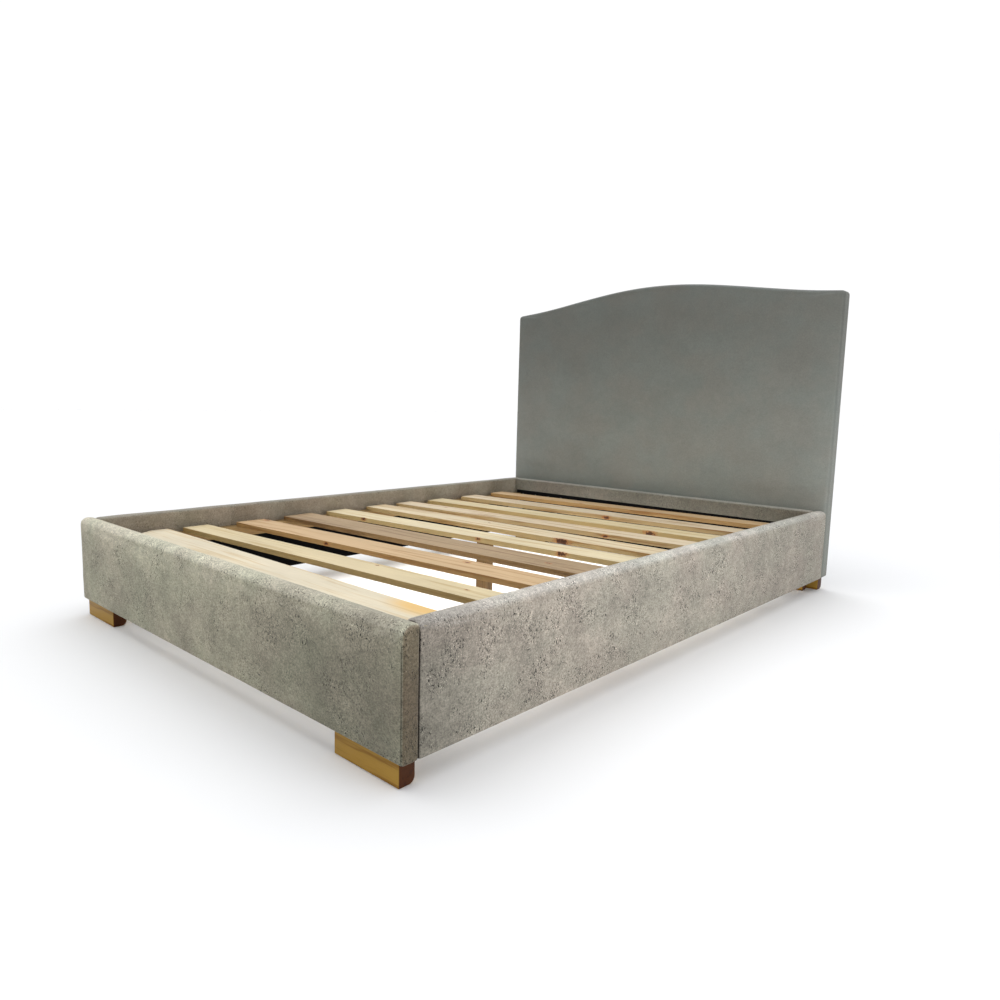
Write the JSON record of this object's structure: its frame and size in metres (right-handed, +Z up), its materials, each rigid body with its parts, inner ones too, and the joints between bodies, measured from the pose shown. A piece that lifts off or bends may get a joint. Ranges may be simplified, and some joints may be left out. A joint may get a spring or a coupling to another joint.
{
  "type": "upholstered bed frame",
  "caption": "Low upholstered double bed frame with padded box rails, a bell-topped headboard, loose pine slats and wooden block feet.",
  "frame": {"origin": "on the floor under the middle of the bed's bounding box", "axes": "+Z up, +Y towards the headboard, +X to the right for someone at the foot who looks at the headboard"},
  "size_m": [1.5, 2.14, 1.1805],
  "materials": {
    "frame_fabric": "matt mottled short-pile velvet, grey-beige",
    "headboard_fabric": "matt short-pile velvet, darker green-grey",
    "foam": "open-cell upholstery foam, hidden",
    "board": "raw particle board, hidden",
    "black_lining": "black non-woven lining cloth",
    "pine": "sawn and planed unfinished pine with knots",
    "ledger_wood": "raw brown softwood",
    "foot_wood": "golden brown stained and lacquered wood",
    "zinc_steel": "zinc plated steel"
  },
  "bodies": {
    "frame": {"footboard_board": "board", "footboard_foam": "foam", "footboard_cover": "frame_fabric", "footboard_lining": "black_lining", "head_rail_board": "board", "head_rail_foam": "foam", "head_rail_cover": "frame_fabric", "head_rail_lining": "black_lining", "left_rail_board": "board", "left_rail_foam": "foam", "left_rail_cover": "frame_fabric", "left_rail_lining": "black_lining", "right_rail_board": "board", "right_rail_foam": "foam", "right_rail_cover": "frame_fabric", "right_rail_lining": "black_lining", "headboard_board": "board", "headboard_foam": "foam", "headboard_cover": "headboard_fabric", "headboard_back_cloth": "black_lining", "slat_support_left": "ledger_wood", "front_foot_left": "foot_wood", "rail_foot_left": "foot_wood", "headboard_foot_left": "foot_wood", "headboard_bolt_left": "zinc_steel", "corner_front_left": "zinc_steel", "corner_front_left_screw_end": "zinc_steel", "corner_front_left_screw_rail": "zinc_steel", "corner_back_left": "zinc_steel", "corner_back_left_screw_end": "zinc_steel", "corner_back_left_screw_rail": "zinc_steel", "slat_support_right": "ledger_wood", "front_foot_right": "foot_wood", "rail_foot_right": "foot_wood", "headboard_foot_right": "foot_wood", "headboard_bolt_right": "zinc_steel", "corner_front_right": "zinc_steel", "corner_front_right_screw_end": "zinc_steel", "corner_front_right_screw_rail": "zinc_steel", "corner_back_right": "zinc_steel", "corner_back_right_screw_end": "zinc_steel", "corner_back_right_screw_rail": "zinc_steel"},
    "slat_01": {"slat_01": "pine"},
    "slat_02": {"slat_02": "pine"},
    "slat_03": {"slat_03": "pine"},
    "slat_04": {"slat_04": "pine"},
    "slat_05": {"slat_05": "pine", "middle_leg": "pine"},
    "slat_06": {"slat_06": "pine"},
    "slat_07": {"slat_07": "pine"},
    "slat_08": {"slat_08": "pine"},
    "slat_09": {"slat_09": "pine"},
    "slat_10": {"slat_10": "pine"}
  },
  "joints": [
    {"name": "slat_01_lift", "type": "slide", "parent": "frame", "child": "slat_01", "axis": [0, 0, 1], "range_m": [0, 0.12]},
    {"name": "slat_02_lift", "type": "slide", "parent": "frame", "child": "slat_02", "axis": [0, 0, 1], "range_m": [0, 0.12]},
    {"name": "slat_03_lift", "type": "slide", "parent": "frame", "child": "slat_03", "axis": [0, 0, 1], "range_m": [0, 0.12]},
    {"name": "slat_04_lift", "type": "slide", "parent": "frame", "child": "slat_04", "axis": [0, 0, 1], "range_m": [0, 0.12]},
    {"name": "slat_05_lift", "type": "slide", "parent": "frame", "child": "slat_05", "axis": [0, 0, 1], "range_m": [0, 0.12]},
    {"name": "slat_06_lift", "type": "slide", "parent": "frame", "child": "slat_06", "axis": [0, 0, 1], "range_m": [0, 0.12]},
    {"name": "slat_07_lift", "type": "slide", "parent": "frame", "child": "slat_07", "axis": [0, 0, 1], "range_m": [0, 0.12]},
    {"name": "slat_08_lift", "type": "slide", "parent": "frame", "child": "slat_08", "axis": [0, 0, 1], "range_m": [0, 0.12]},
    {"name": "slat_09_lift", "type": "slide", "parent": "frame", "child": "slat_09", "axis": [0, 0, 1], "range_m": [0, 0.12]},
    {"name": "slat_10_lift", "type": "slide", "parent": "frame", "child": "slat_10", "axis": [0, 0, 1], "range_m": [0, 0.12]}
  ]
}
